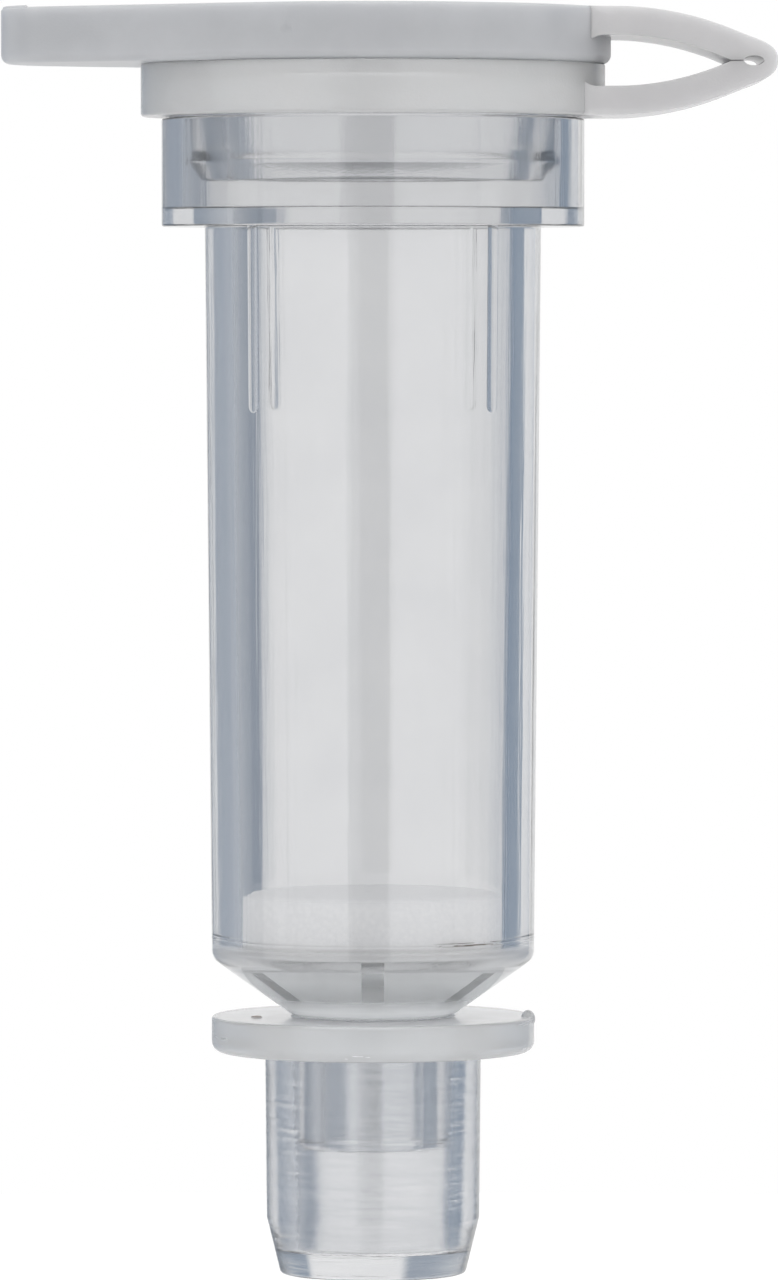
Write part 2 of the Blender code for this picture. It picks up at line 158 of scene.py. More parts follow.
# Snap cap
RING_UNDERSIDE = 30.2986
RING_TOP = 31.66
RING_RADIUS = 6.07
RING_BORE_RADIUS = 5.39
RING_ROUND = 0.09
RING_TOP_ROUND = 0.03
RING_RECESS_RADIUS = 5.47
RING_RECESS_FLOOR = 31.2186
RING_RECESS_ROUND = 0.05
LID_UNDERSIDE = 31.6686
LID_TOP = 33.1186
LID_RADIUS = 6.22
LID_TOP_ROUND = 0.08
LID_UNDER_ROUND = 0.24
LID_FACE_ROUNDS = 3
TAB_END_RADIUS = 2.42
TAB_CENTRE = -7.3
TAB_LIP_START = -9.05
TAB_LIP_PROUD = 0.045
TAB_LIP_SINK = 0.1
TAB_LIP_ROUND = 0.03
LID_MARK = (-2.2, 32.42)
LID_MARK_BALL = 0.4
LID_MARK_DEPTH = 0.03
SEAL_EDGE = 28.5886
SEAL_TOP_RADIUS = 4.84
SEAL_WAIST_RADIUS = 4.76
SEAL_WAIST = 29.35
SEAL_WAIST_ROUND = 0.3
SEAL_BEAD_RADIUS = 4.86
SEAL_BEAD = 29.08
SEAL_BEAD_ROUND = 0.12
SEAL_EDGE_RADIUS = 4.42
SEAL_EDGE_ROUND = 0.18
SEAL_WALL = 0.7
SEAL_LOOK_MARGIN = 0.01
STRAP_WIDTH = 5.0
STRAP_THICKNESS = 0.75
STRAP_BEND_START = 6.25
STRAP_TOUCH = 9.27
STRAP_EDGE_ROUND = 0.04
STRAP_ROOT_FILLET = [(-0.06, 0.16), (0.03, 0.08), (0.1, 0.03), (0.2, 0.0)]
STRAP_ROOT_STATIONS = 2
HINGE_X = 9.87
HINGE_Z = 31.7086
FOLD_HALF_HEIGHT = 1.41
FOLD_GAP = 0.02
FOLD_REACH = 0.62
FOLD_EASE = 0.5
FOLD_BLUNTNESS = 0.62
EYELET_HALF_DEPTH = 0.26
EYELET_HALF_HEIGHT = 0.125
EYELET_STEPS = 12
CREASE_ROWS = 5

# Camera, from the photograph's perspective: a level strip of 33.5 mm fills its height
CAMERA_DISTANCE = 241.0
CAMERA_HEIGHT = 25.2
CAMERA_AIM = (0.42, 0.0, 16.61)
FRAME_HEIGHT = 33.54
SENSOR = 36.0
CLIP_START = 10.0
FLOOR_RADIUS = 150.0
FLOOR_LEVEL = -12.3
FLOOR_COLOUR = (0.82, 0.82, 0.82)
FLOOR_GLOW = 0.3
LIGHT_BOUNCES = 24
LIGHT_CLAMP = 3


def rounded(corners, closed=True):
    """Points through (x, z, radius) corners, each rounded, with support points either side of a round."""
    points = []
    count = len(corners)
    for index, (x, z, radius) in enumerate(corners):
        corner = Vector((x, z))
        if radius == 0 or (not closed and index in (0, count - 1)):
            points.append(corner)
            continue
        back = Vector(corners[index - 1][:2]) - corner
        ahead = Vector(corners[(index + 1) % count][:2]) - corner
        half = back.angle(ahead) / 2
        cut = min(radius / math.tan(half), FILLET_SHARE * min(back.length, ahead.length))
        arc = cut * math.tan(half)
        back.normalize()
        ahead.normalize()
        centre = corner + (back + ahead).normalized() * arc / math.sin(half)
        start = (corner + back * cut - centre).normalized()
        end = (corner + ahead * cut - centre).normalized()
        points.append(corner + back * cut * SUPPORT)
        points += [centre + start.slerp(end, step / ARC_STEPS) * arc for step in range(ARC_STEPS + 1)]
        points.append(corner + ahead * cut * SUPPORT)
    return points


def as_object(name, build):
    """A new object of a finished bmesh, with its faces turned outwards."""
    bmesh.ops.remove_doubles(build, verts=build.verts[:], dist=WELD)
    bmesh.ops.recalc_face_normals(build, faces=build.faces[:])
    mesh = bpy.data.meshes.new(name)
    build.to_mesh(mesh)
    build.free()
    obj = bpy.data.objects.new(name, mesh)
    bpy.context.scene.collection.objects.link(obj)
    return obj


def turned(name, profile, closed=True, steps=TURN_STEPS):
    """A profile of (radius, height) points turned about Z."""
    build = bmesh.new()
    rings = []
    for step in range(steps):
        turn = 2 * math.pi * step / steps
        cosine, sine = math.cos(turn), math.sin(turn)
        rings.append([build.verts.new((r * cosine, r * sine, z)) for r, z in profile])
    count = len(profile)
    for here, there in zip(rings, rings[1:] + rings[:1]):
        for i in range(count if closed else count - 1):
            j = (i + 1) % count
            build.faces.new((here[i], here[j], there[j], there[i]))
    return as_object(name, build)


def lofted(name, sections):
    """A closed skin through sections of equal numbers of (x, y, z) points."""
    build = bmesh.new()
    rings = [[build.verts.new(point) for point in section] for section in sections]
    for upper, lower in zip(rings, rings[1:]):
        for i in range(len(upper)):
            build.faces.new((upper[i - 1], lower[i - 1], lower[i], upper[i]))
    build.faces.new(rings[0])
    build.faces.new(reversed(rings[-1]))
    return as_object(name, build)


def extruded(name, outline, width):
    """An outline of (x, z) points, extruded along Y to a width centred on Y = 0."""
    return lofted(name, [[(x, y, z) for x, z in outline] for y in (-width / 2, width / 2)])


def ball(name, centre, size):
    """An ellipsoid of half-axes size."""
    build = bmesh.new()
    bmesh.ops.create_icosphere(build, subdivisions=BALL_SUBDIVISIONS, radius=1)
    bmesh.ops.transform(build, matrix=Matrix.LocRotScale(centre, None, size), verts=build.verts[:])
    return as_object(name, build)


def combine(obj, tools, operation):
    """Join other objects to this one, or cut them out, and apply that."""
    for tool in tools:
        step = obj.modifiers.new(tool.name, "BOOLEAN")
        step.operation = operation
        step.object = tool
        step.solver = "EXACT"
    bpy.context.view_layer.update()
    shown = obj.evaluated_get(bpy.context.evaluated_depsgraph_get())
    mesh = bpy.data.meshes.new_from_object(shown)
    obj.modifiers.clear()
    spent = [obj.data] + [tool.data for tool in tools]
    obj.data = mesh
    for tool in tools:
        bpy.data.objects.remove(tool)
    for data in spent:
        bpy.data.meshes.remove(data)


def finish(obj, material, nodes):
    """Scale a piece to metres, smooth it up to its sharp edges, and let it stand for its CAD nodes."""
    obj.data.transform(Matrix.Scale(MM, 4))
    obj.data.shade_smooth()
    obj.data.set_sharp_from_angle(angle=math.radians(SHARP_DEGREES))
    obj.data.materials.clear()
    obj.data.materials.append(material)
    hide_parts(*nodes)


def tube_radius(z):
    """Outer radius of the drafted tube at a height."""
    return TUBE_TOP_RADIUS - (COLLAR_UNDERSIDE - z) * DRAFT_SLOPE


def column_profile():
    """Section of the column: down its outside from the rim to the outlet's tip, and up its inside."""
    parting = []
    for step in PARTING_STATIONS:
        z = PARTING_LINE + step * PARTING_HALF
        parting.append((tube_radius(z) + (0 if step else PARTING_PROUD), z, 0))
    outside = [
        (LIP_RADIUS, RIM, LIP_ROUND),
        (LIP_RADIUS, LIP_UNDERSIDE + LIP_SLOPE_HEIGHT, 0),
        (NECK_RADIUS, LIP_UNDERSIDE, 0),
        (NECK_RADIUS, COLLAR_TOP, NECK_FILLET),
        (COLLAR_RADIUS, COLLAR_TOP, COLLAR_ROUND),
        (COLLAR_RADIUS, COLLAR_UNDERSIDE, COLLAR_ROUND),
        (TUBE_TOP_RADIUS, COLLAR_UNDERSIDE, COLLAR_FILLET),
        *parting,
        (TUBE_END_RADIUS, TUBE_END, TUBE_END_ROUND),
        (OUTLET_RADIUS, OUTLET_ROOT, OUTLET_FILLET),
        (OUTLET_RADIUS - (OUTLET_ROOT - OUTLET_TIP) * OUTLET_SLOPE, OUTLET_TIP, OUTLET_TIP_ROUND),
    ]
    funnel_end = FRIT_SEAT - (SEAT_LEDGE_RADIUS - OUTLET_BORE_RADIUS) / CONE_SLOPE
    inside = [
        (OUTLET_BORE_RADIUS, OUTLET_TIP, OUTLET_BORE_ROUND),
        (OUTLET_BORE_RADIUS, funnel_end, FUNNEL_ROUND),
        (SEAT_LEDGE_RADIUS, FRIT_SEAT, SEAT_LEDGE_ROUND),
        (tube_radius(FRIT_SEAT) - TUBE_WALL, FRIT_SEAT, SEAT_FILLET),
        (tube_radius(MOUTH_FLOOR_TOP) - TUBE_WALL, MOUTH_FLOOR_TOP, MOUTH_FLOOR_ROUND),
        (MOUTH_FLOOR_RADIUS, MOUTH_FLOOR_TOP, MOUTH_FLOOR_ROUND),
        (RIM_MOUTH_RADIUS, RIM - MOUTH_CHAMFER, 0),
        (RIM_MOUTH_RADIUS + MOUTH_CHAMFER, RIM, 0),
    ]
    return rounded(outside + inside)


def funnel_rib(index):
    """One rib that holds the frit above the funnel, its foot sunk into the funnel's wall."""
    end = SEAT_LEDGE_RADIUS + FUNNEL_RIB_SINK
    sunk = OUTLET_ROOT + FUNNEL_WALL_HEIGHT / 2
    outline = [
        (FUNNEL_RIB_START, FRIT_SEAT),
        (end, FRIT_SEAT),
        (end, sunk + (end - OUTLET_RADIUS) / CONE_SLOPE),
        (FUNNEL_RIB_START, sunk + (FUNNEL_RIB_START - OUTLET_RADIUS) / CONE_SLOPE),
    ]
    rib = extruded(f"funnel_rib_{index}", outline, FUNNEL_RIB_WIDTH)
    rib.rotation_euler.z = 2 * math.pi * (index + 0.5) / FUNNEL_RIB_COUNT
    return rib


def guide_rib(index):
    """One slim bar, with a round lower end, that centres the tube in a collection tube."""
    top = GUIDE_RIB_SINK + GUIDE_RIB_OVERLAP
    centre = GUIDE_RIB_RADIUS - GUIDE_RIB_LENGTH
    turns = [math.pi / 2 * step / ARC_STEPS for step in range(1, ARC_STEPS)]
    end = [(GUIDE_RIB_RADIUS * math.cos(a), centre - GUIDE_RIB_RADIUS * math.sin(a)) for a in turns]
    profile = [(0, top), (GUIDE_RIB_RADIUS, top), (GUIDE_RIB_RADIUS, centre), *end, (0, -GUIDE_RIB_LENGTH)]
    rib = turned(f"guide_rib_{index}", profile, closed=False, steps=RIB_STEPS)
    heading = Matrix.Rotation(2 * math.pi * (index + 0.5) / GUIDE_RIB_COUNT, 4, "Z")
    place = Matrix.Translation((TUBE_TOP_RADIUS - GUIDE_RIB_SINK, 0, COLLAR_UNDERSIDE))
    flat = Matrix.Diagonal((GUIDE_RIB_FLATNESS, 1, 1, 1))
    rib.matrix_world = heading @ place @ Matrix.Rotation(math.radians(DRAFT_DEGREES), 4, "Y") @ flat
    return rib


def make_column(material):
    """The clear column: collar, tube, guide ribs, ribbed funnel and outlet in one moulding."""
    column = turned("column", column_profile())
    ribs = [funnel_rib(i) for i in range(FUNNEL_RIB_COUNT)] + [guide_rib(i) for i in range(GUIDE_RIB_COUNT)]
    combine(column, ribs, "UNION")
    finish(column, material, ["column_body"])
    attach(column, "column")


def evenly(start, end, pitch):
    """Points from start up to, but not including, end, about a pitch apart."""
    start, end = Vector(start), Vector(end)
    steps = max(1, round((end - start).length / pitch))
    return [start.lerp(end, step / steps) for step in range(steps)]


def make_frit(material):
    """The porous disc on the funnel's ribs, with a grainy surface."""
    facet = FRIT_EDGE * (1 - math.sqrt(0.5))
    corners = [
        (0, FRIT_TOP),
        (FRIT_RADIUS - FRIT_EDGE, FRIT_TOP),
        (FRIT_RADIUS - facet, FRIT_TOP - facet),
        (FRIT_RADIUS, FRIT_TOP - FRIT_EDGE),
        (FRIT_RADIUS, FRIT_UNDERSIDE + FRIT_EDGE),
        (FRIT_RADIUS - facet, FRIT_UNDERSIDE + facet),
        (FRIT_RADIUS - FRIT_EDGE, FRIT_UNDERSIDE),
        (0, FRIT_UNDERSIDE),
    ]
    profile = [point for a, b in zip(corners, corners[1:]) for point in evenly(a, b, FRIT_GRAIN)]
    frit = turned("frit_disc", profile + [Vector(corners[-1])], closed=False)
    for vertex in frit.data.vertices:
        grain = noise.fractal(vertex.co / FRIT_GRAIN / 2, *FRIT_FRACTAL)
        vertex.co -= vertex.normal * FRIT_ROUGHNESS * (FRIT_DIP + FRIT_SWING * grain)
    finish(frit, material, ["frit"])
    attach(frit, "column")


def make_outlet_plug(material):
    """The push-on plug that closes the outlet: a flanged cup with a tapered lead at its end."""
    corners = [
        (0, PLUG_FLOOR, 0),
        (SOCKET_END_RADIUS, PLUG_FLOOR, SOCKET_END_FILLET),
        (SOCKET_RADIUS, PLUG_TOP, SOCKET_ROUND),
        (PLUG_FLANGE_RADIUS, PLUG_TOP, PLUG_FLANGE_TOP_ROUND),
        (PLUG_FLANGE_RADIUS, PLUG_SKIRT_LENGTH, PLUG_FLANGE_UNDER_ROUND),
        (PLUG_SKIRT_RADIUS, PLUG_SKIRT_LENGTH, PLUG_SKIRT_FILLET),
        (PLUG_SKIRT_END_RADIUS, PLUG_LEAD_LENGTH, PLUG_LEAD_ROUND),
        (PLUG_END_RADIUS, 0, PLUG_END_ROUND),
        (0, 0, 0),
    ]
    plug = turned("outlet_plug_cup", rounded(corners, closed=False), closed=False)
    gates = [ball("gate_nub", GATE_NUB, GATE_NUB_SIZE), ball("gate_stub", GATE_STUB, GATE_STUB_SIZE)]
    combine(plug, gates, "UNION")
    finish(plug, material, ["outlet_plug"])
    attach(plug, "end_plug")


def make_tether_ring(material):
    """The ring snapped round the neck, under the neck's lip."""
    corners = [
        (RING_RADIUS, RING_TOP, RING_TOP_ROUND),
        (RING_RADIUS, RING_UNDERSIDE, RING_ROUND),
        (RING_BORE_RADIUS, RING_UNDERSIDE, RING_ROUND),
        (RING_BORE_RADIUS, RING_RECESS_FLOOR, 0),
        (RING_RECESS_RADIUS, RING_RECESS_FLOOR + LIP_SLOPE_HEIGHT, 0),
        (RING_RECESS_RADIUS, RING_TOP, RING_RECESS_ROUND),
    ]
    ring = turned("cap_ring_band", rounded(corners))
    finish(ring, material, ["tether_ring"])
    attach(ring, "cap_ring")


def lid_outline(inset, z):
    """Plan of the lid at a height: its disc and its tab's round end, joined by their tangents."""
    tangent = math.acos((LID_RADIUS - TAB_END_RADIUS) / TAB_CENTRE)
    disc_steps = 2 * round(tangent / (2 * math.pi) * TURN_STEPS)
    tab_steps = TURN_STEPS - disc_steps
    disc = [tangent * (2 * i / disc_steps - 1) for i in range(disc_steps + 1)]
    tab = [tangent + 2 * (math.pi - tangent) * i / tab_steps for i in range(tab_steps + 1)]
    disc_radius = LID_RADIUS - inset
    tab_radius = TAB_END_RADIUS - inset
    around = [(disc_radius * math.cos(a), disc_radius * math.sin(a), z) for a in disc]
    return around + [(TAB_CENTRE + tab_radius * math.cos(a), tab_radius * math.sin(a), z) for a in tab]


def seal_profile():
    """Section of the hollow sealing plug under the lid, with its bead above a rounded lower edge."""
    root = (LID_UNDERSIDE + LID_TOP) / 2
    return rounded(
        [
            (SEAL_TOP_RADIUS, root, 0),
            (SEAL_TOP_RADIUS, LID_UNDERSIDE, 0),
            (SEAL_WAIST_RADIUS, SEAL_WAIST, SEAL_WAIST_ROUND),
            (SEAL_BEAD_RADIUS, SEAL_BEAD, SEAL_BEAD_ROUND),
            (SEAL_EDGE_RADIUS, SEAL_EDGE, SEAL_EDGE_ROUND),
            (SEAL_EDGE_RADIUS - SEAL_WALL, SEAL_EDGE, SEAL_EDGE_ROUND),
            (SEAL_TOP_RADIUS - SEAL_WALL, LID_UNDERSIDE, 0),
            (SEAL_TOP_RADIUS - SEAL_WALL, root, 0),
        ]
    )


def tab_lip():
    """The low lip along the end of the thumb tab."""
    reach = math.acos((TAB_LIP_START - TAB_CENTRE) / TAB_END_RADIUS)
    turns = [reach + 2 * (math.pi - reach) * i / BEND_STEPS for i in range(BEND_STEPS + 1)]
    top = LID_TOP + TAB_LIP_PROUD
    edge = [(0, LID_TOP - TAB_LIP_SINK), (0, top - TAB_LIP_ROUND), (TAB_LIP_ROUND, top)]
    sections = []
    for inset, z in reversed(edge):
        radius = TAB_END_RADIUS - LID_TOP_ROUND / 2 - inset
        sections.append([(TAB_CENTRE + radius * math.cos(a), radius * math.sin(a), z) for a in turns])
    return lofted("tab_lip", sections)


def make_lid(material, seal_material):
    """The lid: a plate with a thumb tab, and a hollow sealing plug below it."""
    edge = rounded(
        [
            (LID_TOP_ROUND * LID_FACE_ROUNDS, LID_TOP, 0),
            (0, LID_TOP, LID_TOP_ROUND),
            (0, LID_UNDERSIDE, LID_UNDER_ROUND),
            (LID_UNDER_ROUND * LID_FACE_ROUNDS, LID_UNDERSIDE, 0),
        ],
        closed=False,
    )
    lid = lofted("lid_plate", [lid_outline(inset, z) for inset, z in edge])
    combine(lid, [turned("lid_seal", seal_profile()), tab_lip()], "UNION")
    x, z = LID_MARK
    out = LID_MARK_BALL - LID_MARK_DEPTH
    side = Vector((x, -math.sqrt(LID_RADIUS**2 - x**2))) * (LID_RADIUS + out) / LID_RADIUS
    combine(lid, [ball("lid_mark", (side.x, side.y, z), [LID_MARK_BALL] * 3)], "DIFFERENCE")
    finish(lid, material, ["lid"])
    lid.data.materials.append(seal_material)
    for face in lid.data.polygons:
        face.material_index = int(face.center.z < (LID_UNDERSIDE - SEAL_LOOK_MARGIN) * MM)
    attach(lid, "cap_lid")


def limb_stations():
    """(outer, inner) points along one limb and its half of the fold, each as x and the distance from the
    fold's plane."""
    fall = FOLD_HALF_HEIGHT - STRAP_THICKNESS - FOLD_GAP / 2
    run = STRAP_TOUCH - STRAP_BEND_START
    inner_bend = (run**2 + fall**2) / (2 * fall)
    faces = []
    for depth in (STRAP_THICKNESS, 0):
        radius = inner_bend + STRAP_THICKNESS - depth
        sweep = math.asin(run / radius)
        height = FOLD_HALF_HEIGHT - depth
        turns = [sweep * step / BEND_STEPS for step in range(BEND_STEPS + 1)]
        bend = [
            (STRAP_BEND_START + radius * math.sin(a), height - radius * (1 - math.cos(a))) for a in turns
        ]
        slope = 0 if depth else math.tan(sweep)
        end = HINGE_X - EYELET_HALF_DEPTH - STRAP_TOUCH
        straight = [end * step / TOUCH_STEPS for step in range(1, TOUCH_STEPS + 1)]
        faces.append(bend + [(STRAP_TOUCH + d, bend[-1][1] - slope * d) for d in straight])
    inner, outer = faces
    fold_x, end_height = outer[-1]
    tip = HINGE_X + FOLD_REACH
    ease = FOLD_EASE * (tip - fold_x)
    bow = interpolate_bezier(
        (fold_x, end_height),
        (fold_x + ease, end_height - slope * ease),
        (tip, FOLD_BLUNTNESS * end_height),
        (tip, FOLD_GAP / 2),
        EYELET_STEPS + 1,
    )
    closing = math.asin(FOLD_GAP / 2 / EYELET_HALF_HEIGHT)
    sweep = math.pi - 2 * closing
    turns = [math.pi - closing - sweep * i / EYELET_STEPS for i in range(1, EYELET_STEPS + 1)]
    turns += [closing * (1 - i / CREASE_ROWS) for i in range(1, CREASE_ROWS + 1)]
    eyelet = [
        (HINGE_X + EYELET_HALF_DEPTH * math.cos(a), EYELET_HALF_HEIGHT * math.sin(a)) for a in turns
    ]
    outer += [tuple(point) for point in bow[1:]] + [(tip, z) for x, z in eyelet[EYELET_STEPS:]]
    return list(zip(outer, inner + eyelet))


def strap_section(outer, inner, side, flare=0.0):
    """A rounded rectangle across the strap, between its two faces, above (+1) or below (-1) the fold."""
    outer, inner = (Vector((x, HINGE_Z + side * z)) for x, z in (outer, inner))
    inner -= (outer - inner).normalized() * flare
    thickness = (outer - inner).length
    half = STRAP_WIDTH / 2 + flare
    box = [(-half, 0), (half, 0), (half, thickness), (-half, thickness)]
    loop = rounded([(y, t, STRAP_EDGE_ROUND) for y, t in box])
    points = []
    for y, depth in loop:
        place = inner.lerp(outer, depth / thickness)
        points.append((place.x, y, place.y))
    return points


def strap_root(station, side, radius):
    """The end of the strap, which flares into the round edge that it grows from."""
    sections = []
    for offset, flare in STRAP_ROOT_FILLET:
        reach = radius + offset
        section = strap_section(*station, side, flare)
        sections.append([(math.sqrt(reach**2 - y**2), y, z) for x, y, z in section])
    return sections


def make_strap(material):
    """The strap from the tether ring, round its fold, to the lid."""
    limb = limb_stations()
    free = limb[STRAP_ROOT_STATIONS:]
    lower = [strap_section(*station, -1) for station in free]
    upper = [strap_section(*station, 1) for station in reversed(free[:-1])]
    roots = strap_root(limb[0], -1, RING_RADIUS), strap_root(limb[0], 1, LID_RADIUS)[::-1]
    strap = lofted("cap_strap", [*roots[0], *lower, *upper, *roots[1]])
    finish(strap, material, ["strap_lower", "hinge_web", "strap_upper"])
    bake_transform(strap)


def principled(name, colour, roughness, ior, transmission, scatter):
    """A new material, with its node tree, its shader and millimetre coordinates. Light that it doesn't let
    through is scattered over so many millimetres. Values that nodes then take over still serve as the
    material's plain look."""
    material = bpy.data.materials.new(name)
    material.use_nodes = True
    tree = material.node_tree
    shader = tree.nodes["Principled BSDF"]
    shader.inputs["Base Color"].default_value = (*colour, 1)
    shader.inputs["Roughness"].default_value = roughness
    shader.inputs["IOR"].default_value = ior
    shader.inputs["Transmission Weight"].default_value = transmission
    shader.inputs["Subsurface Weight"].default_value = 1.0 if scatter else 0.0
    shader.inputs["Subsurface Radius"].default_value = (1, 1, 1)
    shader.inputs["Subsurface Scale"].default_value = scatter * MM
    place = tree.nodes.new("ShaderNodeTexCoord")
    scale = tree.nodes.new("ShaderNodeVectorMath")
    scale.operation = "SCALE"
    scale.inputs["Scale"].default_value = 1 / MM
    tree.links.new(place.outputs["Object"], scale.inputs[0])
    return material, tree, shader, scale.outputs["Vector"]


def stretched(tree, vector, factors):
    """Coordinates multiplied by a factor on each axis."""
    step = tree.nodes.new("ShaderNodeVectorMath")
    step.operation = "MULTIPLY"
    step.inputs[1].default_value = factors
    tree.links.new(vector, step.inputs[0])
    return step.outputs["Vector"]


def noise_of(tree, vector, scale, detail=2.0):
    """A noise texture's value."""
    step = tree.nodes.new("ShaderNodeTexNoise")
    step.inputs["Scale"].default_value = scale
    step.inputs["Detail"].default_value = detail
    tree.links.new(vector, step.inputs["Vector"])
    return step.outputs["Fac"]


def ranged(tree, value, low, high, to_low=0.0, to_high=1.0):
    """A value mapped from one range to another."""
    step = tree.nodes.new("ShaderNodeMapRange")
    for name, number in (("From Min", low), ("From Max", high), ("To Min", to_low), ("To Max", to_high)):
        step.inputs[name].default_value = number
    tree.links.new(value, step.inputs["Value"])
    return step.outputs["Result"]


def maths(tree, operation, first, second):
    """A sum, product or other function of two values."""
    step = tree.nodes.new("ShaderNodeMath")
    step.operation = operation
    for socket, value in zip(step.inputs, (first, second)):
        if isinstance(value, float):
            socket.default_value = value
        else:
            tree.links.new(value, socket)
    return step.outputs[0]


def parts_of(tree, vector):
    """The three parts of coordinates."""
    step = tree.nodes.new("ShaderNodeSeparateXYZ")
    tree.links.new(vector, step.inputs[0])
    return step.outputs


def distance_from(tree, vector, point):
    """How far coordinates are from a point."""
    step = tree.nodes.new("ShaderNodeVectorMath")
    step.operation = "DISTANCE"
    step.inputs[1].default_value = point
    tree.links.new(vector, step.inputs[0])
    return step.outputs["Value"]


def all_of(tree, *masks):
    """The product of masks."""
    product = masks[0]
    for mask in masks[1:]:
        product = maths(tree, "MULTIPLY", product, mask)
    return product


def mixed(tree, factor, first, second):
    """A colour between two, each a value or an output."""
    step = tree.nodes.new("ShaderNodeMix")
    step.data_type = "RGBA"
    tree.links.new(factor, step.inputs[0])
    for socket, colour in zip(step.inputs[6:8], (first, second)):
        if isinstance(colour, tuple):
            socket.default_value = (*colour, 1)
        else:
            tree.links.new(colour, socket)
    return step.outputs[2]


def bumped(tree, height, depth, shader, normal=None):
    """Bump of a depth in millimetres, on top of an earlier one."""
    step = tree.nodes.new("ShaderNodeBump")
    step.inputs["Distance"].default_value = depth * MM
    tree.links.new(height, step.inputs["Height"])
    if normal:
        tree.links.new(normal, step.inputs["Normal"])
    tree.links.new(step.outputs["Normal"], shader.inputs["Normal"])
    return step.outputs["Normal"]


# Looks: tints are linear colours, clarity is the share of light let through, and depths are in millimetres
CLEAR_IOR = 1.49
LOOK_EDGE = 0.1
CLOUDS = (0.35, 0.65)
FLOW = (0.3, 0.7)
FLOW_STRETCH = (1, 1, 0.03)
FLOW_DEPTH = 0.008
COLUMN_PLAIN = (0.85, 0.853, 0.862)
COLUMN_TINTS = [(0.838, 0.842, 0.852), (0.862, 0.865, 0.872)]
COLUMN_CLARITY = 0.985
COLLAR_TINT = (0.79, 0.794, 0.803)
OUTLET_TINT = (0.905, 0.912, 0.92)
FUNNEL_TINT = (0.975, 0.985, 0.99)
FUNNEL_CLARITY = 0.94
FUNNEL_MATT = 0.05
HAZE_CLARITY = 0.05
RIB_FACE_DEPTHS = (-1.26, -1.22)
RIB_HAZE = 0.5
WALL_DEPTHS = (-0.6, -0.4)
DIRT_TINT = (0.12, 0.1, 0.08)
DIRT_WIDTH = (0.012, 0.022)
DIRT_STARTS = (1.4, 1.9)
DIRT_ENDS = (2.9, 3.3)
PLUG_PLAIN = (0.87, 0.875, 0.885)
SKIRT_TINTS = [(0.805, 0.812, 0.828), (0.86, 0.866, 0.876)]
SKIRT_CLARITY = 0.97
SKIRT_STRETCH = (0.06, 0.06, 1)
SKIRT_LINE_DEPTH = 0.02
FLANGE_TINT = (0.875, 0.89, 0.908)
FLANGE_CLARITY = 0.48
FLANGE_MATT = 0.12
FLANGE_SCATTER = 2.0
GATE_TINT = (0.4, 0.34, 0.3)
GATE_EDGE = (0.13, 0.17)
FRIT_PLAIN = (0.82, 0.83, 0.84)
# The frit's white, and the darker colour painted into its pores as shade
FRIT_WHITE_AND_PORE_SHADE = [(0.99, 0.99, 0.99), (0.92, 0.925, 0.93)]
FRIT_SCATTER = 0.6
FRIT_BUMP = 0.006
CAP_GRAIN = 0.004
LID_TINTS = [(0.553, 0.563, 0.583), (0.593, 0.602, 0.622)]
SEAL_TINTS = [(0.98, 0.982, 0.985), (0.99, 0.992, 0.994)]
RING_TINTS = [(0.905, 0.913, 0.927), (0.93, 0.937, 0.947)]
STRAP_TINTS = [(0.676, 0.67, 0.678), (0.717, 0.71, 0.717)]


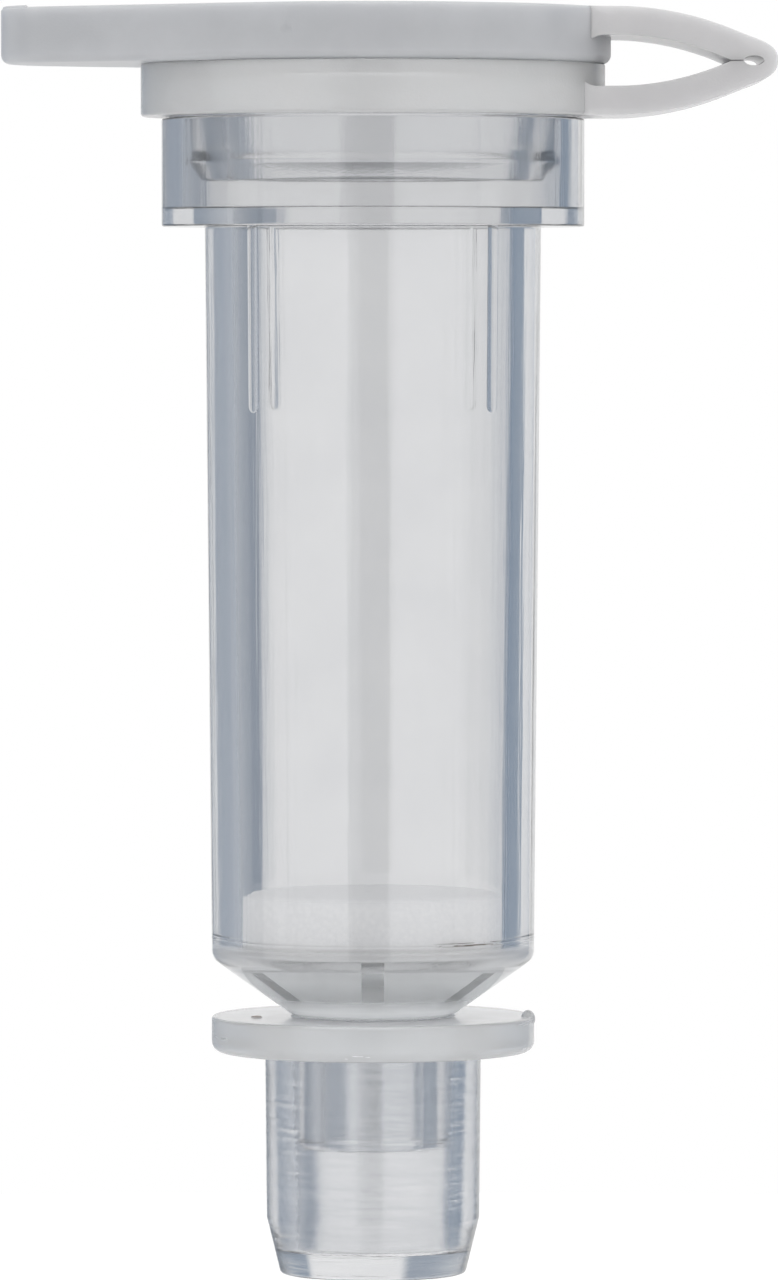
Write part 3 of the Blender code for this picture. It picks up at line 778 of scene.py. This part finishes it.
def clear_polypropylene():
    """Clear, with dirt in a stretch of the parting line, and haze on the funnel's inner faces and round the
    outlet's root."""
    material, tree, shader, mm = principled(
        "clear_polypropylene", COLUMN_PLAIN, 0.05, CLEAR_IOR, COLUMN_CLARITY, 0.0
    )
    across, along, height = parts_of(tree, mm)
    cloud = ranged(tree, noise_of(tree, mm, 0.6, 3.0), *CLOUDS)
    below = ranged(tree, height, TUBE_END - 0.15, TUBE_END + LOOK_EDGE, 1.0, 0.0)
    above = ranged(tree, height, OUTLET_ROOT, OUTLET_ROOT + LOOK_EDGE)
    funnel = all_of(tree, below, above)
    # How far a point lies outside the funnel's outer cone, so below zero in the wall and on its inner faces
    radius = distance_from(tree, stretched(tree, mm, (1, 1, 0)), (0, 0, 0))
    rise = maths(tree, "MULTIPLY", maths(tree, "SUBTRACT", height, OUTLET_ROOT), CONE_SLOPE)
    depth = maths(tree, "SUBTRACT", maths(tree, "SUBTRACT", radius, rise), OUTLET_RADIUS)
    inside = all_of(
        tree,
        ranged(tree, depth, *RIB_FACE_DEPTHS, RIB_HAZE, 1.0),
        ranged(tree, depth, *WALL_DEPTHS, 1.0, 0.0),
        above,
        ranged(tree, height, FRIT_SEAT + 0.1, FRIT_SEAT + 0.3, 1.0, 0.0),
    )
    root = ranged(tree, height, OUTLET_ROOT + 0.2, OUTLET_ROOT + 0.6, 1.0, 0.0)
    outlet = ranged(tree, height, OUTLET_ROOT, OUTLET_ROOT + LOOK_EDGE, 1.0, 0.0)
    collar = ranged(tree, height, COLLAR_UNDERSIDE - 0.01, COLLAR_UNDERSIDE + 0.01)
    tint = mixed(tree, cloud, *COLUMN_TINTS)
    tint = mixed(tree, collar, tint, COLLAR_TINT)
    tint = mixed(tree, outlet, tint, OUTLET_TINT)
    tint = mixed(tree, funnel, tint, FUNNEL_TINT)
    offset = maths(tree, "ABSOLUTE", maths(tree, "SUBTRACT", height, PARTING_LINE), 0.0)
    dirt = all_of(
        tree,
        ranged(tree, offset, *DIRT_WIDTH, 1.0, 0.0),
        ranged(tree, across, *DIRT_STARTS),
        ranged(tree, across, *DIRT_ENDS, 1.0, 0.0),
        ranged(tree, along, -1.0, 0.0, 1.0, 0.0),
        ranged(tree, noise_of(tree, mm, 3.0, 3.0), 0.43, 0.49),
    )
    tree.links.new(mixed(tree, dirt, tint, DIRT_TINT), shader.inputs["Base Color"])
    flow = noise_of(tree, stretched(tree, mm, FLOW_STRETCH), 2.2, 4.0)
    gloss = ranged(tree, flow, *FLOW, 0.02, 0.07)
    matt = ranged(tree, funnel, 0.0, 1.0, 0.0, FUNNEL_MATT)
    tree.links.new(maths(tree, "ADD", gloss, matt), shader.inputs["Roughness"])
    clarity = all_of(
        tree,
        ranged(tree, funnel, 0.0, 1.0, COLUMN_CLARITY, FUNNEL_CLARITY),
        ranged(tree, inside, 0.0, 1.0, 1.0, HAZE_CLARITY),
        ranged(tree, all_of(tree, funnel, root), 0.0, 1.0, 1.0, HAZE_CLARITY),
        ranged(tree, dirt, 0.0, 1.0, 1.0, 0.0),
    )
    tree.links.new(clarity, shader.inputs["Transmission Weight"])
    bumped(tree, flow, FLOW_DEPTH, shader)
    return material


def clear_polyethylene():
    """Turned-looking skirt, and a milky flange with a glossy top and a brown gate mark."""
    material, tree, shader, mm = principled(
        "clear_polyethylene", PLUG_PLAIN, 0.14, CLEAR_IOR, SKIRT_CLARITY, FLANGE_SCATTER
    )
    height = parts_of(tree, mm)["Z"]
    flange = ranged(tree, height, PLUG_SKIRT_LENGTH - 0.05, PLUG_SKIRT_LENGTH + 0.05)
    side = ranged(tree, height, PLUG_TOP - 0.06, PLUG_TOP - 0.01, 1.0, 0.0)
    mark = ranged(tree, distance_from(tree, mm, GATE_STUB), *GATE_EDGE, 1.0, 0.0)
    tool_lines = noise_of(tree, stretched(tree, mm, SKIRT_STRETCH), 7.0, 4.0)
    tint = mixed(tree, ranged(tree, tool_lines, 0.4, 0.6), *SKIRT_TINTS)
    tint = mixed(tree, flange, tint, FLANGE_TINT)
    tree.links.new(mixed(tree, mark, tint, GATE_TINT), shader.inputs["Base Color"])
    gloss = ranged(tree, tool_lines, *FLOW, 0.06, 0.16)
    matt = ranged(tree, all_of(tree, flange, side), 0.0, 1.0, 0.0, FLANGE_MATT)
    tree.links.new(maths(tree, "ADD", gloss, matt), shader.inputs["Roughness"])
    clarity = all_of(
        tree,
        ranged(tree, flange, 0.0, 1.0, SKIRT_CLARITY, FLANGE_CLARITY),
        ranged(tree, mark, 0.0, 1.0, 1.0, 0.0),
    )
    tree.links.new(clarity, shader.inputs["Transmission Weight"])
    skirt = ranged(tree, flange, 0.0, 1.0, 1.0, 0.0)
    bumped(tree, all_of(tree, tool_lines, skirt), SKIRT_LINE_DEPTH, shader)
    return material


def frosted_polyethylene(name, dark, light, roughness, transmission, scatter, ior=1.5):
    """Milky plastic, which lets more light through where it is thin."""
    material, tree, shader, mm = principled(name, light, roughness, ior, transmission, scatter)
    cloud = noise_of(tree, mm, 0.55, 3.0)
    tree.links.new(mixed(tree, ranged(tree, cloud, *CLOUDS), dark, light), shader.inputs["Base Color"])
    bumped(tree, noise_of(tree, mm, 14.0, 2.0), CAP_GRAIN, shader)
    return material


def porous_polyethylene():
    """White and matt, with painted shade in its pores, which are coloured darker."""
    material, tree, shader, mm = principled("porous_polyethylene", FRIT_PLAIN, 0.9, 1.5, 0.0, FRIT_SCATTER)
    pores = tree.nodes.new("ShaderNodeTexVoronoi")
    pores.inputs["Scale"].default_value = 9.0
    tree.links.new(mm, pores.inputs["Vector"])
    # Painted shade in the pores: the colour darkens away from the cells' centres, towards the pores between
    # them
    depth = ranged(tree, pores.outputs["Distance"], 0.1, 0.7)
    tree.links.new(mixed(tree, depth, *FRIT_WHITE_AND_PORE_SHADE), shader.inputs["Base Color"])
    bumped(tree, noise_of(tree, mm, 11.0, 4.0), FRIT_BUMP, shader)
    return material


# The studio round the object, as seen past it from the camera: degrees round from straight behind it
# towards the camera's right, with the light that comes from there. White backdrop behind, dark flags beside
# it, white panels to the sides and soft boxes in front, and the dark gap that the camera looks through.
WHITE = (0.9, 0.9, 0.9)
SIDE = (0.78, 0.78, 0.79)
LEFT_SIDE = (0.34, 0.36, 0.39)
LEFT_FLAG = (0.31, 0.36, 0.43)
LEFT_FLAG_END = (0.56, 0.59, 0.63)
RIGHT_FLAG = (0.26, 0.32, 0.4)
BOX = (1.3, 1.3, 1.3)
SEAM = (0.4, 0.4, 0.4)
GAP = (0.12, 0.12, 0.125)
STUDIO = [
    (-180, GAP),
    (-163, GAP),
    (-162, BOX),
    (-117.4, BOX),
    (-117, SEAM),
    (-116, SEAM),
    (-115.6, BOX),
    (-95.5, BOX),
    (-94.5, LEFT_SIDE),
    (-80, LEFT_SIDE),
    (-60, LEFT_FLAG_END),
    (-28, LEFT_FLAG),
    (-15, LEFT_FLAG),
    (-11, WHITE),
    (29, WHITE),
    (32, RIGHT_FLAG),
    (74, RIGHT_FLAG),
    (77, SIDE),
    (98, SIDE),
    (99, BOX),
    (120.6, BOX),
    (121, SEAM),
    (122, SEAM),
    (122.4, BOX),
    (168, BOX),
    (169, GAP),
    (180, GAP),
]
OVERHEAD = (0.97, 0.97, 0.97)
BACKGROUND = (1.0, 1.0, 1.0)
BAND_LOW = 0.2
BAND_HIGH = 0.45


def make_world():
    """A soft studio: white to the camera, with panels and flags that show in the clear plastic."""
    world = bpy.data.worlds.new("studio")
    world.use_nodes = True
    tree = world.node_tree
    place = tree.nodes.new("ShaderNodeTexCoord")
    across, along, height = parts_of(tree, place.outputs["Generated"])
    heading = maths(tree, "ARCTAN2", across, along)
    ramp = tree.nodes.new("ShaderNodeValToRGB")
    stops = ramp.color_ramp.elements
    while len(stops) > 1:
        stops.remove(stops[-1])
    for index, (degrees, colour) in enumerate(STUDIO):
        position = (degrees + 180) / 360
        stop = stops[0] if index == 0 else stops.new(position)
        stop.position = position
        stop.color = (*colour, 1)
    tree.links.new(ranged(tree, heading, -math.pi, math.pi), ramp.inputs[0])
    high = ranged(tree, maths(tree, "ABSOLUTE", height, 0.0), BAND_LOW, BAND_HIGH)
    around = mixed(tree, high, ramp.outputs[0], OVERHEAD)
    path = tree.nodes.new("ShaderNodeLightPath")
    seen = mixed(tree, path.outputs["Is Camera Ray"], around, BACKGROUND)
    tree.links.new(seen, tree.nodes["Background"].inputs["Color"])
    bpy.context.scene.world = world


def make_floor():
    """A round pale floor, which goes over into the white background. The part is held above it, with room
    to pull the outlet plug off, and the photograph shows no shadow under it."""
    build = bmesh.new()
    bmesh.ops.create_circle(build, cap_ends=True, segments=FLOOR_STEPS, radius=FLOOR_RADIUS * MM)
    floor = as_object("floor", build)
    floor.location.z = FLOOR_LEVEL * MM
    material = bpy.data.materials.new("pale_floor")
    material.use_nodes = True
    tree = material.node_tree
    tree.nodes.remove(tree.nodes["Principled BSDF"])
    out = tree.nodes["Material Output"]
    matt = tree.nodes.new("ShaderNodeBsdfDiffuse")
    matt.inputs["Color"].default_value = (*FLOOR_COLOUR, 1)
    glow = tree.nodes.new("ShaderNodeEmission")
    path = tree.nodes.new("ShaderNodeLightPath")
    seen = path.outputs["Is Camera Ray"]
    for name in ("Is Glossy Ray", "Is Transmission Ray"):
        seen = maths(tree, "MAXIMUM", seen, path.outputs[name])
    tree.links.new(ranged(tree, seen, 0.0, 1.0, 0.0, FLOOR_GLOW), glow.inputs["Strength"])
    both = tree.nodes.new("ShaderNodeAddShader")
    tree.links.new(matt.outputs[0], both.inputs[0])
    tree.links.new(glow.outputs[0], both.inputs[1])
    tree.links.new(both.outputs[0], out.inputs["Surface"])
    floor.data.materials.append(material)
    # Clear plastic shows the studio below the floor's level too, not the floor
    floor.visible_glossy = False
    floor.visible_transmission = False


def make_camera():
    """A long lens at the photograph's distance and height."""
    lens = bpy.data.cameras.new("camera")
    lens.sensor_width = SENSOR
    aim = Vector(CAMERA_AIM) * MM
    place = Vector((CAMERA_AIM[0], -CAMERA_DISTANCE, CAMERA_HEIGHT)) * MM
    lens.lens = SENSOR * (aim - place).length / (FRAME_HEIGHT * MM)
    lens.clip_start = CLIP_START * MM
    camera = bpy.data.objects.new("camera", lens)
    camera.location = place
    camera.rotation_euler = (aim - place).to_track_quat("-Z", "Y").to_euler()
    bpy.context.scene.collection.objects.link(camera)
    bpy.context.scene.camera = camera


def main():
    scene = bpy.context.scene
    scene.view_settings.view_transform = "Standard"
    scene.cycles.max_bounces = LIGHT_BOUNCES
    scene.cycles.transmission_bounces = LIGHT_BOUNCES
    scene.cycles.blur_glossy = 0
    scene.cycles.sample_clamp_indirect = LIGHT_CLAMP
    make_camera()
    make_world()
    make_floor()
    make_column(clear_polypropylene())
    make_frit(porous_polyethylene())
    make_outlet_plug(clear_polyethylene())
    lid_plastic = frosted_polyethylene(
        "frosted_lid", *LID_TINTS, roughness=0.3, transmission=0.1, scatter=0.7
    )
    seal_plastic = frosted_polyethylene(
        "frosted_seal", *SEAL_TINTS, roughness=0.12, transmission=0.98, scatter=2.0, ior=1.2
    )
    make_lid(lid_plastic, seal_plastic)
    make_tether_ring(
        frosted_polyethylene("frosted_ring", *RING_TINTS, roughness=0.22, transmission=0.5, scatter=0.7)
    )
    make_strap(
        frosted_polyethylene("frosted_strap", *STRAP_TINTS, roughness=0.2, transmission=0.1, scatter=0.7)
    )


main()
